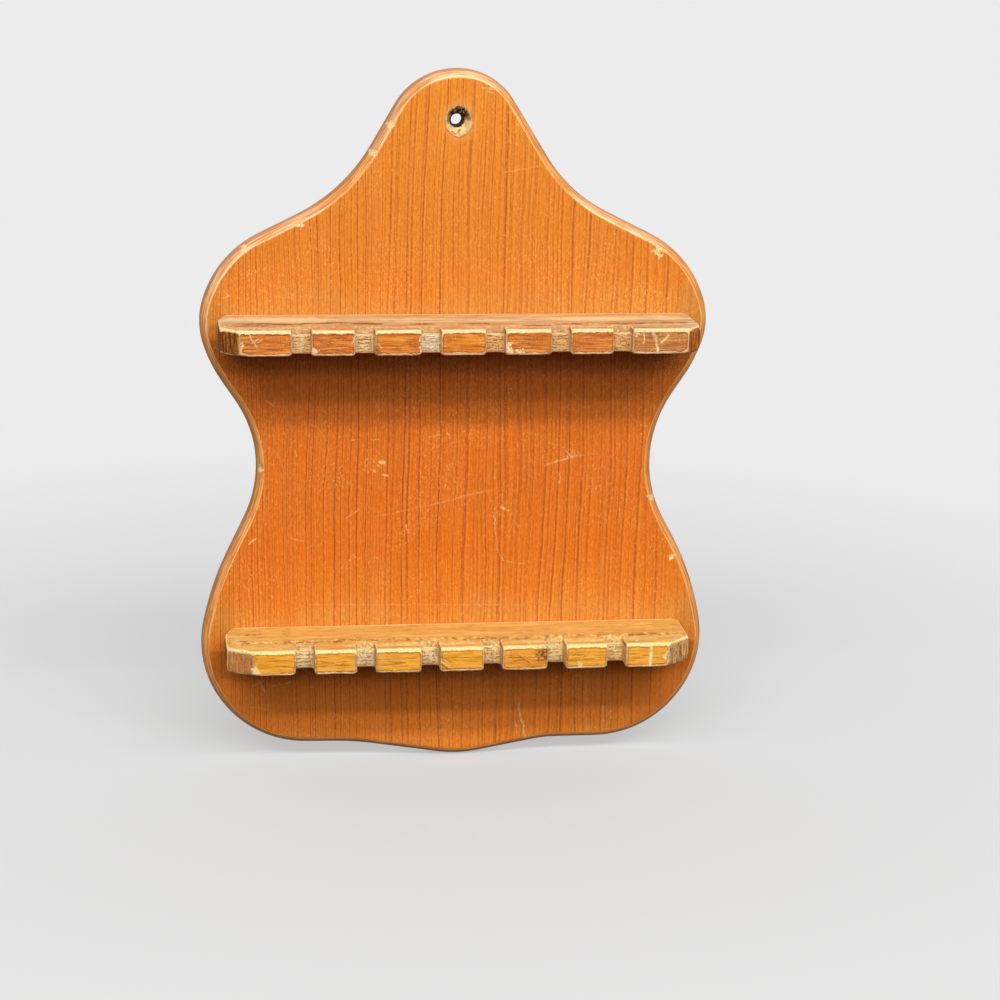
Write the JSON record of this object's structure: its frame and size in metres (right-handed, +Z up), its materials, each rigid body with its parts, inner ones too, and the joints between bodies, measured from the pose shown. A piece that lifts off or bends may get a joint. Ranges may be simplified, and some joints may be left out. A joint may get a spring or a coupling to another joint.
{
  "type": "wall spoon rack",
  "caption": "Scalloped wooden wall board with a hanging hole near the top and two shelf-like rails, notched along their front edges to hang spoons by the neck.",
  "frame": {"origin": "on the axis of the hanging hole, at the board's back face, which lies against the wall", "axes": "+X runs along the rails to the right as seen from the front, -Y is the way the rack faces and +Z is up"},
  "size_m": [0.2362, 0.0465, 0.3224],
  "materials": {
    "board_wood": "satin orange-brown stain over straight-grained softwood",
    "rail_wood": "satin stain, worn pale on the edges and bare in the notches",
    "screw_steel": "dull plated steel"
  },
  "bodies": {
    "root": {"back_board": "board_wood", "upper_rail": "rail_wood", "lower_rail": "rail_wood", "upper_rail_screw_left": "screw_steel", "upper_rail_screw_middle": "screw_steel", "upper_rail_screw_right": "screw_steel", "lower_rail_screw_left": "screw_steel", "lower_rail_screw_middle": "screw_steel", "lower_rail_screw_right": "screw_steel"}
  },
  "joints": []
}
